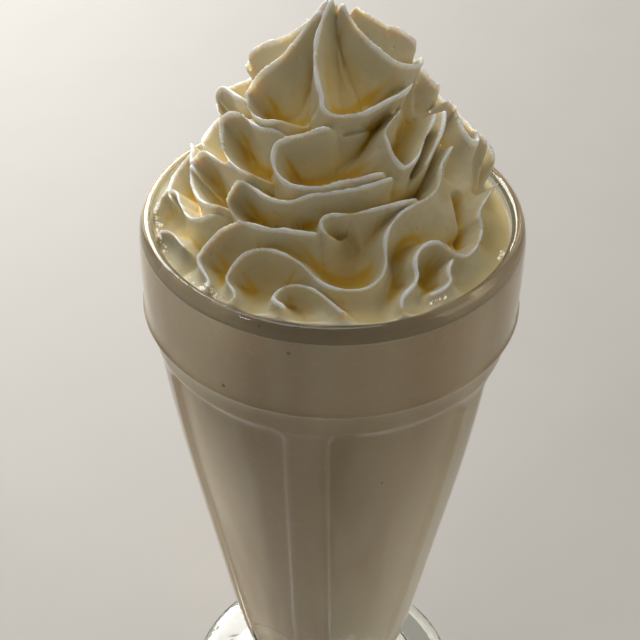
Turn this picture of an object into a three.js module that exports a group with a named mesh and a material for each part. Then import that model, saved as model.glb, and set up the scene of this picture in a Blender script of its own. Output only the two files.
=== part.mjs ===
// Vanilla milkshake in a footed soda glass, with a heap of piped whipped cream.
// Millimetres, +Z up. The origin is the middle of the foot, on the surface the glass stands on.
// Angles are in degrees round the glass: 0 faces the front, -Y, and 90 faces +X.
import * as THREE from 'three';

// Glass
const GLASS_HEIGHT = 189;
const RIM_RADIUS = 45;
const RIM_WALL = 2.7;
const BAND_RADIUS = 46;
const BAND_FOOT = 165;
const FOOT_RADIUS = 42.25;
const FOOT_EDGE = 3.3;
const BOWL_FLOOR = 23;

// Six flat panels round the bowl, with a raised rib between each two
const PANELS = 6;
const RIB_ANGLE = -6;
const RIB_WIDTH = 9.2;
const RIB_EDGE = 0.9;
const PANEL_INSET = 1;
const PANEL_FLAT = 1.1;
const PANEL_TOP = 157.5;
const PANEL_FOOT = 30;
const PANEL_COLUMNS = 4;

// Milkshake and whipped cream
const CLEARANCE = 0.3;
const DRINK_TOP = 184;
const CREAM_FOOT = DRINK_TOP + CLEARANCE;
const WALL_COLUMNS = 48;
const CREAM_COLUMNS = 100;
const CREAM_ROWS = 37;

// Cross-section of a fold: a thin fin along its lip, a long face below it and a steep crevice above
const FACE_WIDTH = 9;
const FACE_SHARPNESS = 2;
const CREVICE_WIDTH = 4.6;
const CREVICE_SHARPNESS = 2.4;
const FIN_WIDTH = 1.8;
const FIN_SHARE = 0.28;
const FOLD_FADE = 6;

const rad = THREE.MathUtils.degToRad;

// Outlines as radius and height, from the foot upwards
const footOutline = [
  [0, 2.6], [18, 2.2], [29, 1.2], [31.5, 0], [38.5, 0], [41.4, 1.2],
  [FOOT_RADIUS, FOOT_EDGE], [41.2, 5], [36, 6.6], [27, 8.4], [18, 11], [12.6, 14], [11.2, 17],
];
const bowlOutline = [
  [12.6, 20], [16.6, 23], [20, 27], [23.2, 34], [25.6, 42], [29, 60], [34, 90], [39, 120],
  [41.6, 138], [42.9, 149], [43.4, 153.5], [43.9, 156], [44.3, PANEL_TOP], [44.8, 161.4],
  [45.5, 163.9], [BAND_RADIUS + 0.45, BAND_FOOT], [BAND_RADIUS, 166.6], [BAND_RADIUS + 0.1, 174],
  [BAND_RADIUS, 182], [45.7, 186], [RIM_RADIUS, 188.2], [RIM_RADIUS - RIM_WALL / 2, GLASS_HEIGHT],
];
const cavityOutline = [
  [RIM_RADIUS - RIM_WALL, 188.2], [42.4, 186], [42.5, 176], [42.5, 166], [41.3, 159], [39.4, 152],
  [37.3, 140], [33.9, 120], [29.2, 90], [24.3, 60], [20.6, 42], [17.2, 32], [12, 26],
  [6, BOWL_FLOOR + 0.5], [0, BOWL_FLOOR],
];

// Crest outline of the cream heap, and the outline of the hollows between its folds,
// station by station from the tip down to the glass
const heapCrest = [
  [0.4, 244], [5, 240.3], [10.5, 235], [16, 229], [20.3, 222.5], [24.2, 216], [28, 209.5],
  [31.8, 203], [35.6, 197], [39.4, 192.6], [41.9, 189.8],
];
const heapHollow = [
  [0.3, 238.5], [2, 233.4], [5, 226.8], [9.8, 220], [14.2, 213.4], [18.2, 206.8], [21.8, 200.2],
  [25.4, 194], [29.8, 188.8], [35.6, 186], [41.5, 185.4],
];

// Where the piped rope was laid wider than the outline: middle angle and height, extra radius,
// and how far the swelling spreads round and up
const swells = [
  { angle: 106, height: 230.5, extra: 3.6, wide: 24, tall: 5 },
  { angle: 106, height: 215, extra: 2.4, wide: 32, tall: 7 },
  { angle: 106, height: 201.5, extra: 6, wide: 32, tall: 7 },
  { angle: -105, height: 227, extra: 2.6, wide: 20, tall: 4.5 },
  { angle: -106, height: 216, extra: 3.8, wide: 16, tall: 3.5 },
  { angle: -106, height: 200.5, extra: 2, wide: 20, tall: 4 },
];

// Crest lines of the folds that show from the front. Each is written as the places where the
// piped edge turns: angle, height, and the way it runs there, level, upright or onward.
const LEVEL = 'level';
const UPRIGHT = 'upright';
const ONWARD = 'onward';
const frontFolds = {
  petalBack: [[-52, 241, ONWARD], [-88, 233.5, ONWARD], [-104, 227, UPRIGHT], [-90, 223, ONWARD]],
  petalLeft: [[-62, 243, ONWARD], [-62, 232.4, ONWARD], [-76, 223.2, UPRIGHT], [-57, 221.2, LEVEL],
    [-23, 225.4, ONWARD]],
  petalFront: [[-40, 243, ONWARD], [-31, 237.4, ONWARD], [-13, 230.1, ONWARD], [-9, 227.6, UPRIGHT],
    [6, 225.5, LEVEL], [42, 226.6, ONWARD], [66, 226.4, ONWARD], [94, 227.2, ONWARD]],
  petalRight: [[30, 242.4, ONWARD], [51, 236, ONWARD], [68, 231.2, ONWARD], [92, 227.8, ONWARD],
    [107, 226.2, UPRIGHT], [98, 221, ONWARD]],
  petalFar: [[93, 241, ONWARD], [106, 236.5, ONWARD], [112, 231.5, UPRIGHT], [106, 225, ONWARD]],
  finLeft: [[-66, 222.6, ONWARD], [-86, 220, ONWARD], [-104, 216.8, UPRIGHT], [-101, 212.5, ONWARD],
    [-90, 210, ONWARD]],
  loopHighLeft: [[-24, 221.4, LEVEL], [-58, 219.8, LEVEL], [-83, 214.6, UPRIGHT], [-53, 211.2, LEVEL],
    [-31, 213.5, ONWARD]],
  loopHighMiddle: [[9, 224.3, ONWARD], [-13, 222.4, ONWARD], [-33, 217.6, UPRIGHT],
    [-18, 212.4, LEVEL], [10, 214.2, ONWARD], [38, 214.8, ONWARD]],
  pocketHighRight: [[63, 225.7, ONWARD], [32, 220.8, UPRIGHT], [39, 214.3, LEVEL], [60, 217.5, ONWARD],
    [90, 220, ONWARD]],
  loopMidLeft: [[-38, 211.3, ONWARD], [-58, 210.5, ONWARD], [-88, 203.5, UPRIGHT], [-70, 200.5, LEVEL],
    [-45, 205.1, ONWARD]],
  loopMidFront: [[40, 213.8, ONWARD], [-7, 211.4, ONWARD], [-26, 208.9, LEVEL], [-44, 209.7, LEVEL],
    [-49, 205.7, UPRIGHT], [-36, 202.8, LEVEL], [-9, 205.9, ONWARD]],
  curlMid: [[50, 207.8, ONWARD], [26, 208.5, ONWARD], [2, 208, LEVEL], [-4, 206.3, UPRIGHT],
    [1, 204.3, LEVEL], [7, 205.6, ONWARD]],
  loopLowLeft: [[-84, 188.3, UPRIGHT], [-90, 191.5, UPRIGHT], [-80, 195.8, LEVEL], [-71, 196.2, LEVEL],
    [-47, 203.5, ONWARD]],
  petalLowLeft: [[-71, 188.3, UPRIGHT], [-71, 190.3, UPRIGHT], [-62, 192.6, LEVEL], [-50, 193.4, ONWARD]],
  loopLowFront: [[-39, 188.2, UPRIGHT], [-49, 193.7, UPRIGHT], [-30, 203.5, LEVEL], [-9, 204.2, LEVEL],
    [1, 206.2, ONWARD]],
  sweepLow: [[-29, 188.3, UPRIGHT], [-35, 193.3, UPRIGHT], [-22, 199.9, LEVEL], [9, 194.4, LEVEL],
    [21, 199.9, UPRIGHT], [29, 206.1, ONWARD], [52, 207.7, ONWARD], [63, 211.3, ONWARD],
    [85, 212, ONWARD]],
  curlLow: [[-13, 188.3, UPRIGHT], [-17, 191.7, UPRIGHT], [-10, 194.9, LEVEL], [5, 188.6, ONWARD]],
  sweepRight: [[22, 188.3, UPRIGHT], [31, 195.9, UPRIGHT], [39, 199.4, LEVEL], [55, 193.9, LEVEL],
    [68, 197.9, UPRIGHT], [80, 199.5, LEVEL], [96, 196, ONWARD]],
  curlRight: [[53, 193.4, ONWARD], [48, 194.8, LEVEL], [42, 192.4, UPRIGHT], [33, 190.9, LEVEL]],
  steepRight: [[42, 210.9, ONWARD], [60, 214.4, ONWARD], [84, 217, ONWARD], [98, 219.5, ONWARD]],
  shoulderRight: [[98, 220, ONWARD], [106, 213, ONWARD], [106, 206, UPRIGHT], [98, 200, ONWARD]],
};

// The groove between the front and right petals: its depth as a share of the fold height, its half
// width, and the places where it turns
const petalGroove = {
  depth: 0.9,
  half: 2.4,
  turns: [[20, 240.5, ONWARD], [27, 237.5, ONWARD], [32, 233.8, ONWARD], [31, 229, ONWARD]],
};

// Where the cream is fuller, above 0, or scooped out inside a loop, below 0
const fullness = [
  { angle: -70, height: 225.5, wide: 12, tall: 2.6, amount: -0.55 },
  { angle: -74, height: 216.5, wide: 12, tall: 2.6, amount: -0.5 },
  { angle: -24, height: 217.4, wide: 12, tall: 2.6, amount: -0.5 },
  { angle: -76, height: 204.5, wide: 9, tall: 2.4, amount: -0.5 },
  { angle: -42, height: 207, wide: 9, tall: 1.6, amount: -0.5 },
  { angle: 3, height: 206.4, wide: 4, tall: 1.2, amount: -0.6 },
  { angle: -80, height: 192.5, wide: 8, tall: 2.6, amount: -0.4 },
  { angle: -42, height: 197, wide: 8, tall: 4, amount: -0.5 },
  { angle: -22, height: 194.5, wide: 9, tall: 3.2, amount: -0.5 },
  { angle: -9, height: 191.8, wide: 4.5, tall: 1.5, amount: -0.5 },
  { angle: 40, height: 195.6, wide: 5, tall: 2.5, amount: -0.5 },
  { angle: 44, height: 219, wide: 7, tall: 3, amount: -0.35 },
  { angle: 28, height: 218.5, wide: 10, tall: 2.2, amount: 0.45 },
  { angle: 68, height: 215, wide: 16, tall: 5, amount: 0.5 },
  { angle: -16, height: 225.8, wide: 6, tall: 1.6, amount: 0.3 },
  { angle: 62, height: 203, wide: 13, tall: 4.5, amount: 0.45 },
];

// How far the cream's edge climbs above its usual height at the wall
const edgeClimbs = [
  { angle: -2, climb: 1.9, wide: 30 },
  { angle: 30, climb: 0.5, wide: 12 },
  { angle: -100, climb: 0.5, wide: 30 },
  { angle: 150, climb: 0.8, wide: 40 },
];
const EDGE_REACH = 7;

// Folds round the back follow the same habit: petals under the tip, then rounds of loops
const BACK_TO = 252;
const loopRounds = [
  { height: 219.5, gap: 8.5, step: 42, reach: 46, start: 106 },
  { height: 209, gap: 8, step: 36, reach: 38, start: 92 },
  { height: 198, gap: 8.5, step: 30, reach: 30, start: 104 },
];
const BACK_PETALS = [152, 190, 226];
const LOOP_UNEVEN = 0.22;

function seededDraw(seed) {
  let state = seed;
  return () => {
    state = (state * 16807) % 2147483647;
    return state / 2147483647;
  };
}

function backFolds() {
  const draw = seededDraw(7);
  const uneven = () => 1 + LOOP_UNEVEN * (2 * draw() - 1);
  const folds = [];
  for (const angle of BACK_PETALS) {
    const swing = 20 * uneven();
    const foot = 225 + 1.5 * draw();
    folds.push([[angle, 236, ONWARD], [angle - 0.6 * swing, 232.8, ONWARD],
      [angle - swing, 229, UPRIGHT], [angle - 0.4 * swing, foot, LEVEL], [angle + swing, foot + 2, ONWARD]]);
  }
  for (const { height, gap, step, reach, start } of loopRounds) {
    for (let angle = start; angle < BACK_TO; angle += step * uneven()) {
      const half = 0.5 * gap * uneven();
      const middle = height + 1.2 * (2 * draw() - 1);
      const run = reach * uneven();
      folds.push([[angle + run, middle + half + 1.2, ONWARD], [angle + 0.4 * run, middle + half, LEVEL],
        [angle, middle, UPRIGHT], [angle + 0.35 * run, middle - half, LEVEL],
        [angle + 0.9 * run, middle - half + 2, ONWARD]]);
    }
  }
  return folds;
}

// Closed body from rings of points that share one count; a ring of one point is a pole.
// diagonal says whether a four-sided cell is split from its first corner to its last.
function closedBody(rings, diagonal = shorterDiagonal) {
  const positions = [];
  const starts = rings.map((ring) => {
    const start = positions.length / 3;
    ring.forEach((point) => positions.push(...point));
    return start;
  });
  const index = [];
  for (let k = 0; k + 1 < rings.length; k += 1) {
    const [here, next] = [rings[k], rings[k + 1]];
    const count = Math.max(here.length, next.length);
    for (let i = 0; i < count; i += 1) {
      const j = (i + 1) % count;
      const [a, b] = here.length > 1 ? [i, j] : [0, 0];
      const [c, d] = next.length > 1 ? [i, j] : [0, 0];
      const [low, lowNext] = [starts[k] + a, starts[k] + b];
      const [high, highNext] = [starts[k + 1] + c, starts[k + 1] + d];
      if (here.length === 1) index.push(low, highNext, high);
      else if (next.length === 1) index.push(low, lowNext, high);
      else if (diagonal(here[a], next[d], here[b], next[c])) {
        index.push(low, lowNext, highNext, low, highNext, high);
      } else index.push(low, lowNext, high, lowNext, highNext, high);
    }
  }
  const geometry = new THREE.BufferGeometry();
  geometry.setAttribute('position', new THREE.Float32BufferAttribute(positions, 3));
  geometry.setIndex(index);
  geometry.computeVertexNormals();
  return geometry;
}

function shorterDiagonal(a, d, b, c) {
  const gapSquared = (p, q) => (p[0] - q[0]) ** 2 + (p[1] - q[1]) ** 2 + (p[2] - q[2]) ** 2;
  return gapSquared(a, d) <= gapSquared(b, c) + 1e-9;
}

// Splits along the pair of corners that stands prouder, so that a crest runs on unbroken
function prouderDiagonal(a, d, b, c) {
  const proud = (p) => Math.hypot(p[0], p[1]) + p[2];
  return proud(a) + proud(d) >= proud(b) + proud(c);
}

function atAngle(angle, radius, height) {
  return [radius * Math.sin(rad(angle)), -radius * Math.cos(rad(angle)), height];
}

function roundRing(radius, height, columns) {
  if (radius === 0) return [[0, 0, height]];
  return Array.from({ length: columns }, (_, i) => atAngle(RIB_ANGLE + (360 * i) / columns, radius, height));
}

// One ring of the bowl's outside: ribs at full radius, panels set in and flattened between them
function ribbedRing(radius, height) {
  const sector = 360 / PANELS;
  const fadeTop = THREE.MathUtils.smoothstep(PANEL_TOP + 0.5 - height, 0, 2.5);
  const fadeFoot = THREE.MathUtils.smoothstep(height, PANEL_FOOT - 8, PANEL_FOOT + 6);
  const depth = fadeTop * fadeFoot;
  const ribHalf = THREE.MathUtils.radToDeg(Math.asin(Math.min(0.5, RIB_WIDTH / 2 / radius)));
  const edge = THREE.MathUtils.radToDeg(RIB_EDGE / radius);
  const ring = [];
  for (let panel = 0; panel < PANELS; panel += 1) {
    const middle = RIB_ANGLE + sector * panel;
    ring.push(atAngle(middle - ribHalf, radius, height));
    ring.push(atAngle(middle + ribHalf, radius, height));
    const from = ribHalf + edge;
    const span = sector - 2 * from;
    for (let i = 0; i <= PANEL_COLUMNS + 1; i += 1) {
      const across = i / (PANEL_COLUMNS + 1);
      const inset = PANEL_INSET + PANEL_FLAT * (1 - (2 * across - 1) ** 2);
      ring.push(atAngle(middle + from + span * across, radius - depth * inset, height));
    }
  }
  return ring;
}

function glassGeometry() {
  const rings = footOutline.map(([radius, height]) => roundRing(radius, height, WALL_COLUMNS));
  bowlOutline.forEach(([radius, height]) => rings.push(ribbedRing(radius, height)));
  cavityOutline.forEach(([radius, height]) => rings.push(roundRing(radius, height, WALL_COLUMNS)));
  return closedBody(rings);
}

function cavityRadius(height) {
  const above = cavityOutline.findIndex(([, z]) => z <= height);
  if (above < 1) return cavityOutline[0][0];
  const [[r1, z1], [r0, z0]] = [cavityOutline[above - 1], cavityOutline[above]];
  return r0 + ((r1 - r0) * (height - z0)) / (z1 - z0);
}

// The drink fills the bowl, a clearance inside its wall, up to just below the rim
function milkshakeGeometry() {
  const below = cavityOutline.filter(([radius, z]) => z < DRINK_TOP && radius > 0).reverse();
  const rings = [[[0, 0, BOWL_FLOOR + CLEARANCE]]];
  below.forEach(([radius, z]) => rings.push(roundRing(radius - CLEARANCE, z + CLEARANCE / 2, WALL_COLUMNS)));
  const topRadius = cavityRadius(DRINK_TOP) - CLEARANCE;
  rings.push(roundRing(topRadius, DRINK_TOP, WALL_COLUMNS));
  rings.push(roundRing(topRadius / 2, DRINK_TOP, WALL_COLUMNS));
  rings.push([[0, 0, DRINK_TOP]]);
  return closedBody(rings);
}

// The heap's two outlines, sampled evenly along the crest outline
const HEAP_SAMPLES = 400;
function sampleHeap() {
  const toCurve = (outline) => new THREE.SplineCurve(outline.map(([r, z]) => new THREE.Vector2(r, z)));
  const [crest, hollow] = [toCurve(heapCrest), toCurve(heapHollow)];
  let along = 0;
  let last = null;
  return Array.from({ length: HEAP_SAMPLES + 1 }, (_, i) => {
    const out = crest.getPoint(i / HEAP_SAMPLES);
    const inner = hollow.getPoint(i / HEAP_SAMPLES);
    if (last) along += out.distanceTo(last);
    last = out;
    return { along, out, inner };
  });
}
const heap = sampleHeap();
const heapLength = heap[HEAP_SAMPLES].along;

function heapAt(along) {
  const next = Math.max(1, heap.findIndex((sample) => sample.along >= Math.min(along, heapLength) - 1e-9));
  const [a, b] = [heap[next - 1], heap[next]];
  const part = THREE.MathUtils.clamp((along - a.along) / (b.along - a.along), 0, 1);
  return { out: a.out.clone().lerp(b.out, part), inner: a.inner.clone().lerp(b.inner, part) };
}

function alongAtHeight(height) {
  const next = Math.max(1, heap.findIndex((sample) => sample.out.y <= height));
  const [a, b] = [heap[next - 1], heap[next]];
  const part = THREE.MathUtils.clamp((a.out.y - height) / (a.out.y - b.out.y), 0, 1);
  return a.along + part * (b.along - a.along);
}

// A fold's crest as points of angle and distance down the heap, curved from turn to turn. It fades
// in at its ends, but not under the tip or within WALL_ENDS of the wall of the glass.
const WALL_ENDS = 3;
const CREST_STEPS = 14;
function crestLine(turns) {
  const places = turns.map(([angle, height, run]) => ({ angle, along: alongAtHeight(height), run }));
  const meanRadius = places.reduce((sum, { along }) => sum + heapAt(along).out.x, 0) / places.length;
  const perDegree = rad(Math.max(meanRadius, 4));
  const flat = places.map(({ angle, along }) => new THREE.Vector2(angle * perDegree, along));
  const heading = flat.map((_, i) => {
    const way = flat[Math.min(i + 1, flat.length - 1)].clone().sub(flat[Math.max(i - 1, 0)]);
    if (places[i].run === LEVEL) way.y = 0;
    if (places[i].run === UPRIGHT) way.x = 0;
    return way.normalize();
  });
  const handle = (i, step) => {
    if (places[i].run === LEVEL) return 0.56 * Math.abs(step.x);
    if (places[i].run === UPRIGHT) return 0.56 * Math.abs(step.y);
    return 0.34 * step.length();
  };
  const points = [];
  for (let i = 0; i + 1 < flat.length; i += 1) {
    const step = flat[i + 1].clone().sub(flat[i]);
    const curve = new THREE.CubicBezierCurve(
      flat[i],
      flat[i].clone().addScaledVector(heading[i], handle(i, step)),
      flat[i + 1].clone().addScaledVector(heading[i + 1], -handle(i + 1, step)),
      flat[i + 1],
    );
    curve.getPoints(CREST_STEPS).slice(i ? 1 : 0).forEach((p) => points.push(p));
  }
  let run = 0;
  const runs = points.map((p, i) => {
    if (i) run += p.distanceTo(points[i - 1]);
    return run;
  });
  const atWall = (p) => p.y > heapLength - WALL_ENDS;
  const [fromWall, toWall] = [atWall(points[0]), atWall(points[points.length - 1])];
  return points.map((p, i) => {
    const nearTip = heapAt(p.y).out.x < 9;
    const toEnd = Math.min(nearTip || fromWall ? run : runs[i], toWall ? run : run - runs[i]);
    return { angle: p.x / perDegree, along: p.y, rise: fadeIn(toEnd) };
  });
}

function fadeIn(distance) {
  return 0.25 + 0.75 * THREE.MathUtils.smoothstep(distance, 0, FOLD_FADE);
}

const crests = [...Object.values(frontFolds), ...backFolds()].map(crestLine);
const groove = crestLine(petalGroove.turns);

function wrapped(angle) {
  return ((((angle + 180) % 360) + 360) % 360) - 180;
}

// Share of the full fold height left at a distance from the crest. down is how far the crest lies
// down the heap from the place, so a place above a lip lies in its crevice and one below on its face.
function foldProfile(gap, down, radius) {
  const below = THREE.MathUtils.smoothstep(0.5 - (0.5 * down) / (gap + 1e-6), 0, 1);
  const width = Math.min(THREE.MathUtils.lerp(CREVICE_WIDTH, FACE_WIDTH, below), 0.75 * radius + 1.5);
  const sharpness = THREE.MathUtils.lerp(CREVICE_SHARPNESS, FACE_SHARPNESS, below);
  const fin = Math.max(0, 1 - gap / FIN_WIDTH) ** 2;
  return FIN_SHARE * fin + (1 - FIN_SHARE) * Math.max(0, 1 - gap / width) ** sharpness;
}

// Nearest point to the origin on a line from (ax, ay) onwards by (dx, dy), and its part of the line
function nearestOn(ax, ay, dx, dy) {
  const part = THREE.MathUtils.clamp(-(ax * dx + ay * dy) / (dx * dx + dy * dy + 1e-12), 0, 1);
  return [ax + part * dx, ay + part * dy, part];
}

// Calls visit(gap, down, lift) with the nearest point of each stretch of a line near a place
function alongStretches(line, angle, along, perDegree, visit) {
  for (let i = 0; i + 1 < line.length; i += 1) {
    const [a, b] = [line[i], line[i + 1]];
    const ax = wrapped(a.angle - angle) * perDegree;
    const ay = a.along - along;
    if (Math.abs(ax) > 14 || Math.abs(ay) > 14) continue;
    const [x, y, part] = nearestOn(ax, ay, (b.angle - a.angle) * perDegree, b.along - a.along);
    visit(Math.hypot(x, y), y, a.rise + part * (b.rise - a.rise));
  }
}

function withFullness(rise, offLip, angle, height) {
  return fullness.reduce((level, { angle: middle, height: centre, wide, tall, amount }) => {
    const share = Math.exp(-((wrapped(angle - middle) / wide) ** 2) - ((height - centre) / tall) ** 2);
    return level + offLip * share * amount * (amount > 0 ? 1 - level : level);
  }, rise);
}

// Height of the cream between hollow, 0, and crest, 1, at a place on the heap
function riseAt(angle, along) {
  const { x: radius, y: height } = heapAt(along).out;
  const perDegree = rad(Math.max(radius, 2.5));
  let rise = 0;
  for (const line of crests) {
    alongStretches(line, angle, along, perDegree, (gap, down, lift) => {
      rise = Math.max(rise, lift * foldProfile(gap, down, radius));
    });
  }
  let cut = 0;
  alongStretches(groove, angle, along, perDegree, (gap) => {
    cut = Math.max(cut, petalGroove.depth * Math.max(0, 1 - gap / petalGroove.half) ** 2);
  });
  const offLip = 1 - THREE.MathUtils.smoothstep(rise, 0.7, 0.95);
  return withFullness(rise, offLip, angle, height) - offLip * cut;
}

// The crest point inside the grid cell round a place, if a crest crosses that cell
function crestInCell(angle, along, columnStep, rowStep) {
  let nearest = null;
  let least = 0.5;
  for (const line of crests) {
    for (let i = 0; i + 1 < line.length; i += 1) {
      const [a, b] = [line[i], line[i + 1]];
      const ax = wrapped(a.angle - angle) / columnStep;
      const ay = (a.along - along) / rowStep;
      if (Math.abs(ax) > 4 || Math.abs(ay) > 4) continue;
      const [x, y, part] = nearestOn(ax, ay, (b.angle - a.angle) / columnStep, (b.along - a.along) / rowStep);
      if (Math.max(Math.abs(x), Math.abs(y)) >= least) continue;
      least = Math.max(Math.abs(x), Math.abs(y));
      const lift = a.rise + part * (b.rise - a.rise);
      nearest = { angle: angle + x * columnStep, along: along + y * rowStep, lift };
    }
  }
  return nearest;
}

function swell(angle, height) {
  return swells.reduce((sum, { angle: middle, height: level, extra, wide, tall }) => (
    sum + extra * Math.exp(-((wrapped(angle - middle) / wide) ** 2) - ((height - level) / tall) ** 2)), 0);
}

// The cream's edge climbs the wall of the glass further in some places than in others
function edgeClimb(angle, along) {
  const share = THREE.MathUtils.smoothstep(along, heapLength - EDGE_REACH, heapLength);
  return share * edgeClimbs.reduce((sum, { angle: middle, climb, wide }) => (
    sum + climb * Math.exp(-((wrapped(angle - middle) / wide) ** 2))), 0);
}

function creamPoint(angle, along, rise) {
  const { out, inner } = heapAt(along);
  const place = inner.clone().lerp(out, rise);
  return atAngle(angle, place.x + swell(angle, out.y), place.y + edgeClimb(angle, along));
}

// Grid over the heap, with each grid point beside a crest moved onto it
function creamGeometry() {
  const rowStep = heapLength / CREAM_ROWS;
  const columnStep = 360 / CREAM_COLUMNS;
  const rings = [[[0, 0, heapCrest[0][1]]]];
  for (let row = 1; row <= CREAM_ROWS; row += 1) {
    const along = row * rowStep;
    const ring = [];
    for (let column = 0; column < CREAM_COLUMNS; column += 1) {
      const angle = column * columnStep;
      const crest = row < CREAM_ROWS ? crestInCell(angle, along, columnStep, rowStep) : null;
      const place = crest ?? { angle, along, lift: 0 };
      const rise = Math.max(place.lift, riseAt(place.angle, place.along));
      ring.push(creamPoint(place.angle, place.along, rise));
    }
    rings.push(ring);
  }
  const wall = heapAt(heapLength).inner.x;
  const footRing = (radius) => Array.from({ length: CREAM_COLUMNS }, (_, column) => (
    atAngle(column * columnStep, radius, CREAM_FOOT)));
  rings.push(footRing(wall), footRing(wall / 2), [[0, 0, CREAM_FOOT]]);
  return closedBody(rings.reverse(), prouderDiagonal);
}

const materials = {
  glass: new THREE.MeshStandardMaterial({ color: 0xdfe8e2, roughness: 0.04, metalness: 0 }),
  milkshake: new THREE.MeshStandardMaterial({ color: 0xe9ddc4, roughness: 0.35, metalness: 0 }),
  cream: new THREE.MeshStandardMaterial({ color: 0xf3ead2, roughness: 0.45, metalness: 0 }),
};

function addPiece(group, name, geometry, material) {
  const mesh = new THREE.Mesh(geometry, material);
  mesh.name = name;
  group.add(mesh);
}

const milkshake = new THREE.Group();
addPiece(milkshake, 'glass', glassGeometry(), materials.glass);
addPiece(milkshake, 'milkshake', milkshakeGeometry(), materials.milkshake);
addPiece(milkshake, 'whipped_cream', creamGeometry(), materials.cream);

export default milkshake;
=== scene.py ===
# Vanilla milkshake in a footed soda glass, with a heap of piped whipped cream
# Sizes are in millimetres and angles in degrees: 0 faces the front, -Y, and 90 faces +X
import math
import bpy
import numpy as np
from mathutils import Matrix, Vector, noise


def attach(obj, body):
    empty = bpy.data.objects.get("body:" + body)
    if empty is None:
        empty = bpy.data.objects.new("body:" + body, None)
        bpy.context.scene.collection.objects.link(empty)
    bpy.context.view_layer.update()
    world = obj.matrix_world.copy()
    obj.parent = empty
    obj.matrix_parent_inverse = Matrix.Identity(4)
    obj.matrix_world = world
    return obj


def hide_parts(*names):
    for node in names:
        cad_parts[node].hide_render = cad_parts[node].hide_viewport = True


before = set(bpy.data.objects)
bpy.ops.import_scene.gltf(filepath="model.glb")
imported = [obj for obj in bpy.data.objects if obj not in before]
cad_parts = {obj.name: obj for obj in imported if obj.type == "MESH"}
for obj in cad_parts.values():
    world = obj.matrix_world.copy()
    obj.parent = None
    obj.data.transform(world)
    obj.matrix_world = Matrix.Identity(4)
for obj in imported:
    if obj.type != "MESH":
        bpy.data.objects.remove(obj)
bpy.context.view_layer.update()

MM = 0.001

# Glass
GLASS_HEIGHT = 189
RIM_RADIUS = 45
RIM_WALL = 2.7
BAND_RADIUS = 46
BAND_FOOT = 165
FOOT_RADIUS = 42.25
FOOT_EDGE = 3.3
BOWL_FLOOR = 23
PANELS = 6
RIB_ANGLE = -6
RIB_WIDTH = 9.2
RIB_EDGE = 0.9
RIB_MOST = 0.3
PANEL_INSET = 1
PANEL_FLAT = 1.1
PANEL_FLAT_FADE = 5
PANEL_TOP = 157.5
PANEL_FOOT = 30
PANEL_FOOT_REACH = 8
PANEL_FOOT_FADE = 14
PANEL_CORNER = 5

# Drink, which reaches a little into the wall of the glass
DRINK_TOP = 184
INTO_WALL = 0.15

# Folds of the cream, with a long face below each lip and a steep crevice above it
FACE_WIDTH = 9
FACE_SHARPNESS = 2
CREVICE_WIDTH = 4.6
CREVICE_SHARPNESS = 2.4
FIN_WIDTH = 1.8
FIN_SHARE = 0.28
FOLD_FADE = 6
FADED_SHARE = 0.25
FOLD_REACH = 13
CREASE_REACH = 3
WALL_ENDS = 3
LIP_ROUND = 0.3

# A fold keeps its height where it starts near the tip, and is no wider there than a share of the
# heap's radius and a little more
TIP_RADIUS = 9
TIP_SHARE = 0.75
TIP_WIDTH = 1.5

# Fullness and creases fade out where the cream rises to a lip
LIP_STARTS = 0.7
LIP_EASE = 0.25

# Handles of the curve through a crest's turns, as a share of the way to the next turn
ROUND_HANDLE = 0.56
ONWARD_HANDLE = 0.34

# The depth of a pocket sets the painted shade of the cream
# A pocket is as deep as the lips round it stand above it, the ones below it most of all
LIPS_BELOW = (2.2, 4.4)
LIP_ABOVE = 1.6
LIP_ASIDE = 2
BELOW_SHARE = 0.65

# Grid of the heap, whose columns double at each of these radii, and how its lips are rounded
GRID_STEP = 0.42
FEWEST_COLUMNS = 160
COLUMNS_DOUBLE = (11, 22)
SOFT_ROUNDS = 2
SOFT_SHARE = 0.32

# Meshes of the glass and the drink: places across a rib, places across a panel, which lie closer
# beside the ribs, and the radius under which a ring closes to a point
RIB_PLACES = np.linspace(-1, 1, 7)
PANEL_PLACES = (0.02, 0.045, 0.075, *np.linspace(0.11, 0.89, 21), 0.925, 0.955, 0.98)
OUTLINE_STEPS = 5
POLE_RADIUS = 0.3
DRINK_COLUMNS = 160
DRINK_ROWS = 90
DRINK_TOP_RING = 20

# Outlines as radius and height
FOOT_OUTLINE = [(0, 2.6), (9, 2.5), (18, 2.2), (29, 1.2), (31.5, 0), (35, 0), (38.5, 0), (41.4, 1.2),
                (FOOT_RADIUS, FOOT_EDGE), (41.2, 5), (36, 6.6), (27, 8.4), (18, 11), (12.6, 14), (11.2, 17)]
BOWL_OUTLINE = [(12.6, 20), (16.6, 23), (20, 27), (23.2, 34), (25.6, 42), (29, 60), (34, 90), (39, 120),
                (41.6, 138), (42.9, 149), (43.4, 153.5), (43.9, 156), (44.3, PANEL_TOP), (44.8, 161.4),
                (45.5, 163.9), (BAND_RADIUS + 0.45, BAND_FOOT), (BAND_RADIUS, 166.6),
                (BAND_RADIUS + 0.1, 174), (BAND_RADIUS, 182), (45.7, 186), (RIM_RADIUS, 188.2),
                (RIM_RADIUS - RIM_WALL / 2, GLASS_HEIGHT)]
CAVITY_OUTLINE = [(RIM_RADIUS - RIM_WALL, 188.2), (42.4, 186), (42.5, 176), (42.5, 166), (41.3, 159),
                  (39.4, 152), (37.3, 140), (33.9, 120), (29.2, 90), (24.3, 60), (20.6, 42), (17.2, 32),
                  (12, 26), (6, BOWL_FLOOR + 0.5), (0, BOWL_FLOOR)]

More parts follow.
